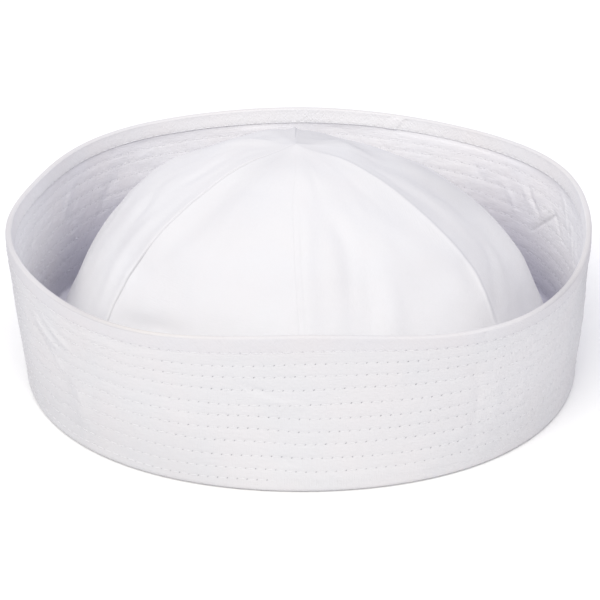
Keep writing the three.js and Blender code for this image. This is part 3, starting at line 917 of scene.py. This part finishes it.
dress(make_ply("cuff_outer_ply", False), outer_cotton, "cuff_cotton", "cuff")
dress(make_ply("cuff_inner_ply", True), inner_cotton, "cuff_cotton")
rows_below_binding = range(1, len(ROW_HEIGHTS))
make_threads("cuff_outer_threads", rows_below_binding, face_radius, False, 301, "cuff_cotton")
make_threads("cuff_inner_threads", rows_below_binding[:-1], face_radius, True, 302, "cuff_cotton")

# Binding: half of its thickness is measured from the middle of the cuff's wall. It turns over the rim through
# these angles, and its inside gets painted light from one of them on. Its join shows at two azimuths, in and
# out.
MIDDLE = CUFF_THICKNESS / 2
RIM_ROUND = 1.05
RIM_ANGLES = [12, 25, 38, 52, 68, 90, 112, 128, 142, 155, 168]
PAINTED_LIGHT_FROM = 142
# Painted shade over the tape's outer face.
OUTSIDE_SHADE = 0.24
INNER_JOIN = 156.8
OUTER_JOIN = 35.0


def binding_half(azimuth, height, inner):
    """Half the bound rim's thickness on one side: waved, pinched at its stitches, thinner towards the rim."""
    pinch = hump(height, row_height(0, azimuth), 0.6)
    free = 0.2 + 0.8 * smoothstep(height, 50.6, 53)
    wave = 0.09 * ring_noise(azimuth, height, 17, 5, 130 + inner) * free
    wave = wave + (0.03 if inner else 0.05) * ring_noise(azimuth, height, 5, 3, 132 + inner)
    up = smoothstep(height, BINDING_LOW + 0.5, CUFF_HEIGHT)
    full = 1.6 - 0.55 * up if inner else 1.38 - 0.34 * up
    return full + wave - 0.05 * pinch


def join_relief(azimuth, height, inner):
    """The tape's slanted join, which lies at one place on the inside and shows as a small nick outside."""
    lean = (height - 54) * 0.62
    if inner:
        away = wrap(azimuth - math.radians(INNER_JOIN)) * RIM_RADIUS + lean
        return -0.3 * hump(away, 0, 0.45) + 0.2 * smoothstep(away, 0, 0.8) * fade(away, 4, 7)
    away = wrap(azimuth - math.radians(OUTER_JOIN)) * RIM_RADIUS
    return -0.25 * hump(away, 0, 0.5)


def tape_face(azimuth, inner, pierced, outside):
    """The tape's sections up one face, from its lower edge to where it turns over the rim."""
    stitches = row_height(0, azimuth)
    low = stitches - TAPE_LAP
    top_centre = CUFF_HEIGHT - RIM_ROUND
    side = -1 if inner else 1
    flat = np.zeros(COLUMNS)
    levels = [(mix(low, stitches, share), flat) for share in (0.0, 0.3, 0.65)]
    levels.append((stitches, pierced))
    levels += [(mix(stitches, top_centre, share), flat) for share in (0.1, 0.2, 0.35, 0.55, 0.8, 1.0)]
    sections = []
    for level, holes in levels:
        half = binding_half(azimuth, level, inner) + join_relief(azimuth, level, inner) - 0.2 * holes
        half = half - 0.16 * hump(level, low, 0.2)
        # Painted shade in the needle holes, and over the whole outer face.
        shade = holes * 0.3 if inner else np.maximum(holes, outside)
        sections.append((cuff_outer(level) - MIDDLE + side * half, level, shade))
    return sections


def make_binding():
    """The folded tape: up its outer face, over the rim, down its inner face, and back against the cuff."""
    azimuth = line_azimuth(0, 0)
    top_centre = CUFF_HEIGHT - RIM_ROUND
    flat = np.zeros(COLUMNS)
    degrees = np.degrees(wrap(azimuth))
    # Painted shade on the tape's outer face, more near its sides, and on the rim's top.
    outside = OUTSIDE_SHADE + 0.1 * smoothstep(np.abs(degrees), 58, 74) * fade(np.abs(degrees), 82, 95)
    top_shade = outside * 0.75 + 0.16 * hump(degrees, -40, 18) + 0.22 * hump(degrees, 56, 10)
    pierced = np.where(FIRST_OF_STITCH, 0.8 + 0.25 * ring_noise(azimuth, flat, 4, 3, 75), 0.0)
    sections = tape_face(azimuth, False, pierced, outside)
    painted_light_start = len(sections) + RIM_ANGLES.index(PAINTED_LIGHT_FROM)
    halves = [binding_half(azimuth, top_centre + flat, inner) for inner in (False, True)]
    for angle in np.radians(RIM_ANGLES):
        reach = math.copysign(abs(math.cos(angle)) ** 0.9, math.cos(angle))
        half = halves[0] if angle < math.pi / 2 else halves[1]
        wave = 0.05 * ring_noise(azimuth, flat, 11, 3, 140) * math.sin(angle)
        level = top_centre + RIM_ROUND * math.sin(angle) ** 0.9 - 0.05 + wave
        shade = top_shade + outside * 0.25 * math.cos(angle)
        sections.append((cuff_outer(top_centre) - MIDDLE + half * reach, level, shade))
    sections += tape_face(azimuth, True, pierced, outside)[::-1]
    inside = MIDDLE + 0.03
    low = row_height(0, azimuth) - 0.3
    for half, level in ((-inside, low), (-0.6, 53.5), (0.6, 53.5), (inside, low)):
        sections.append((cuff_outer(level) - MIDDLE + half + flat, level + flat, flat))
    radius, height, hole_and_shade = (np.array([section[part] for section in sections]) for part in range(3))
    grid_azimuth = np.tile(azimuth, (len(sections), 1))
    points = cuff_point(grid_azimuth, radius, height)
    stain = hump(wrap(grid_azimuth - math.radians(-28)), 0, 0.27)
    cream = (0.1 + 0.34 * stain) * smoothstep(height, top_centre, CUFF_HEIGHT)
    cream = cream * (0.75 + 0.35 * ring_noise(grid_azimuth, height, 14, 40, 150))
    side = np.degrees(wrap(grid_azimuth))
    # Painted light on the tape's inside, at its sides and back.
    painted_light = 0.55 * hump(side, -100, 24) + 0.6 * hump(side, 86, 24) + 0.35 * smoothstep(np.abs(side), 140, 170)
    painted_light[:painted_light_start] = 0
    coarse = smoothstep(side, 25, 60) * 0.7
    marks = {"hole_and_shade": hole_and_shade, "cream": np.clip(cream, 0, 1), "coarse": coarse, "painted_light": painted_light}
    # The tape is cut on the bias, so its weave lies aslant.
    steps = np.linalg.norm(np.diff(points[:, 0], axis=0, append=points[:1, 0]), axis=-1)
    length = np.concatenate([[0], np.cumsum(steps)])
    u = np.concatenate([azimuth, azimuth[:1] + TURN]) * RIM_RADIUS
    uv = np.stack(np.meshgrid(u, length), -1)
    bias = np.stack([uv[..., 0] + uv[..., 1], uv[..., 1] - uv[..., 0]], -1) * math.sqrt(0.5)
    return grid_mesh("rim_binding_tape", points, bias, True, True, **marks)


def binding_face(azimuth, height, inner):
    """The radius of the tape's outer or inner face."""
    half = binding_half(azimuth, height, inner) + join_relief(azimuth, height, inner)
    return cuff_outer(height) - MIDDLE + (-1 if inner else 1) * half


dress(make_binding(), binding_cotton, "binding_cotton", "rim_binding")
make_threads("binding_outer_threads", [0], binding_face, False, 303, "binding_cotton")
make_threads("binding_inner_threads", [0], binding_face, True, 304, "binding_cotton")


# Floor, light and camera. Places are in metres, and the sensor's width is in millimetres.
FLOOR_REACH = 6.0
FLOOR_LEVEL = -0.0002
PITCH = math.radians(26.104)
DISTANCE = 0.9867
TARGET = Vector((-0.00043, 0, 0.0230))
FOCAL_PIXELS = 2730.4
PICTURE_PIXELS = 600
SENSOR = 36


def make_floor():
    mesh = bpy.data.meshes.new("floor")
    ways = [(-1, -1), (1, -1), (1, 1), (-1, 1)]
    corners = [(x * FLOOR_REACH, y * FLOOR_REACH, FLOOR_LEVEL) for x, y in ways]
    mesh.from_pydata(corners, [], [(0, 1, 2, 3)])
    floor = bpy.data.objects.new("floor", mesh)
    bpy.context.scene.collection.objects.link(floor)
    material = bpy.data.materials.new("floor")
    material.use_nodes = True
    shader = material.node_tree.nodes["Principled BSDF"]
    socket(shader, "Base Color", (0.95, 0.95, 0.95, 1))
    socket(shader, "Roughness", 0.9)
    socket(shader, "Specular IOR Level", 0.1)
    mesh.materials.append(material)


def add_sun(name, place, spread, power, colour):
    data = bpy.data.lights.new(name, "SUN")
    data.angle = math.radians(spread)
    data.energy = power
    data.color = colour
    light = bpy.data.objects.new(name, data)
    light.location = place
    light.rotation_euler = (-Vector(place)).to_track_quat("-Z", "Y").to_euler()
    bpy.context.scene.collection.objects.link(light)


def add_camera():
    data = bpy.data.cameras.new("camera")
    data.sensor_width = SENSOR
    data.lens = FOCAL_PIXELS * SENSOR / PICTURE_PIXELS
    camera = bpy.data.objects.new("camera", data)
    camera.location = TARGET + DISTANCE * Vector((0, -math.cos(PITCH), math.sin(PITCH)))
    camera.rotation_euler = (math.pi / 2 - PITCH, 0, 0)
    bpy.context.scene.collection.objects.link(camera)
    bpy.context.scene.camera = camera


def add_studio():
    world = bpy.data.worlds.new("studio")
    world.use_nodes = True
    socket(world.node_tree.nodes["Background"], "Color", (0.9, 0.9, 1.0, 1))
    socket(world.node_tree.nodes["Background"], "Strength", 0.79)
    bpy.context.scene.world = world
    bpy.context.scene.view_settings.view_transform = "Standard"


make_floor()
add_studio()
add_sun("key", (-0.26, -1.08, 1.4), 50, 1.87, (1.0, 0.985, 0.88))
add_camera()
